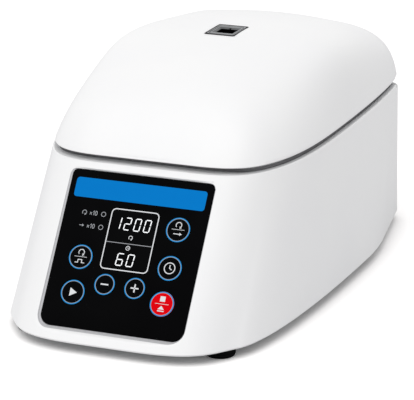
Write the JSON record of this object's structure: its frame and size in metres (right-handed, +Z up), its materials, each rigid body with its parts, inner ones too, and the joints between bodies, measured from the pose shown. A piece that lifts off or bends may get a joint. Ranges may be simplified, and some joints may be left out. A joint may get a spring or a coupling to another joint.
{
  "type": "benchtop centrifuge",
  "caption": "Benchtop micro centrifuge with a lifting lid, leaning control panel, fixed angle rotor in a steel bowl, latch, rear inlet and switch.",
  "frame": {"origin": "under the middle of the machine, on the surface that its feet stand on", "axes": "+X to the right seen from the front, +Y from the front panel to the rear, +Z up"},
  "size_m": [0.2408, 0.4274, 0.1993],
  "materials": {
    "white_plastic": "smooth moulded",
    "grey_plastic": "fine grain",
    "black_plastic": "satin",
    "red_plastic": "satin",
    "smoked_plastic": "polished",
    "clear_plastic": "polished",
    "rubber": "matt",
    "board_green": "satin",
    "bright_steel": "brushed",
    "zinced_steel": "zinc plated",
    "grey_aluminium": "anodised"
  },
  "bodies": {
    "base": {"housing": "white_plastic", "base_pan": "zinced_steel", "foot_front_left": "rubber", "foot_front_right": "rubber", "foot_rear_left": "rubber", "foot_rear_right": "rubber", "bowl": "bright_steel", "chamber_seal": "rubber", "motor": "zinced_steel", "motor_plate": "zinced_steel", "motor_damper_1": "rubber", "motor_damper_2": "rubber", "motor_damper_3": "rubber", "hinge_bracket_left": "zinced_steel", "hinge_bracket_right": "zinced_steel", "hinge_pin_left": "bright_steel", "hinge_pin_right": "bright_steel", "lid_spring_left": "bright_steel", "lid_spring_right": "bright_steel", "latch_frame": "zinced_steel", "latch_pin": "bright_steel", "latch_solenoid": "black_plastic", "control_panel": "black_plastic", "display_window": "smoked_plastic", "display_module": "black_plastic", "indicator_light_1": "clear_plastic", "indicator_light_2": "clear_plastic", "control_board": "board_green", "power_board": "board_green", "transformer": "zinced_steel", "rear_panel": "grey_plastic", "power_inlet": "black_plastic", "switch_bezel": "black_plastic"},
    "lid": {"lid_shell": "white_plastic", "lid_liner": "grey_plastic", "window_frame": "grey_plastic", "window_lens": "clear_plastic", "lid_striker": "bright_steel", "hinge_arm_left": "zinced_steel", "hinge_arm_right": "zinced_steel"},
    "rotor_set": {"drive_shaft": "bright_steel", "rotor": "grey_aluminium", "rotor_nut": "bright_steel"},
    "mode_button": {"mode_key": "black_plastic"},
    "time_button": {"time_key": "black_plastic"},
    "stop_open_button": {"stop_open_key": "red_plastic"},
    "start_button": {"start_key": "black_plastic"},
    "short_spin_button": {"short_spin_key": "black_plastic"},
    "minus_button": {"minus_key": "black_plastic"},
    "plus_button": {"plus_key": "black_plastic"},
    "latch": {"latch_hook": "bright_steel"},
    "plunger": {"latch_plunger": "bright_steel"},
    "rocker": {"power_rocker": "red_plastic"},
    "fuse_holder": {"fuse_drawer": "black_plastic"}
  },
  "joints": [
    {"name": "lid_hinge", "type": "hinge", "parent": "base", "child": "lid", "pos_m": [0, 0.20293, 0.1348], "axis": [-1, 0, 0], "range_deg": [0, 75]},
    {"name": "rotor_spin", "type": "hinge", "parent": "base", "child": "rotor_set", "pos_m": [0, 0.04243, 0.07], "axis": [0, 0, 1], "continuous": true},
    {"name": "mode_press", "type": "slide", "parent": "base", "child": "mode_button", "axis": [0, 0.8324, -0.5541], "range_m": [0, 0.0005], "stiffness_N_per_m": 600},
    {"name": "time_press", "type": "slide", "parent": "base", "child": "time_button", "axis": [0, 0.8324, -0.5541], "range_m": [0, 0.0005], "stiffness_N_per_m": 600},
    {"name": "stop_open_press", "type": "slide", "parent": "base", "child": "stop_open_button", "axis": [0, 0.8324, -0.5541], "range_m": [0, 0.0005], "stiffness_N_per_m": 600},
    {"name": "start_press", "type": "slide", "parent": "base", "child": "start_button", "axis": [0, 0.8324, -0.5541], "range_m": [0, 0.0005], "stiffness_N_per_m": 600},
    {"name": "short_spin_press", "type": "slide", "parent": "base", "child": "short_spin_button", "axis": [0, 0.8324, -0.5541], "range_m": [0, 0.0005], "stiffness_N_per_m": 600},
    {"name": "minus_press", "type": "slide", "parent": "base", "child": "minus_button", "axis": [0, 0.8324, -0.5541], "range_m": [0, 0.0005], "stiffness_N_per_m": 600},
    {"name": "plus_press", "type": "slide", "parent": "base", "child": "plus_button", "axis": [0, 0.8324, -0.5541], "range_m": [0, 0.0005], "stiffness_N_per_m": 600},
    {"name": "latch_turn", "type": "hinge", "parent": "base", "child": "latch", "pos_m": [0, -0.08857, 0.098], "axis": [1, 0, 0], "range_deg": [0, 12], "stiffness_Nm_per_rad": 0.02, "springref_deg": -5.73},
    {"name": "plunger_slide", "type": "slide", "parent": "base", "child": "plunger", "axis": [0, -1, 0], "range_m": [0, 0.0025]},
    {"name": "power_switch", "type": "hinge", "parent": "base", "child": "rocker", "pos_m": [-0.048, 0.20843, 0.0545], "axis": [1, 0, 0], "range_deg": [0, 14]},
    {"name": "fuse_pull", "type": "slide", "parent": "base", "child": "fuse_holder", "axis": [0, 1, 0], "range_m": [0, 0.012]}
  ],
  "couplings": [
    {"joint": "plunger_slide", "follows": "latch_turn", "m_per_rad": 0.011}
  ]
}
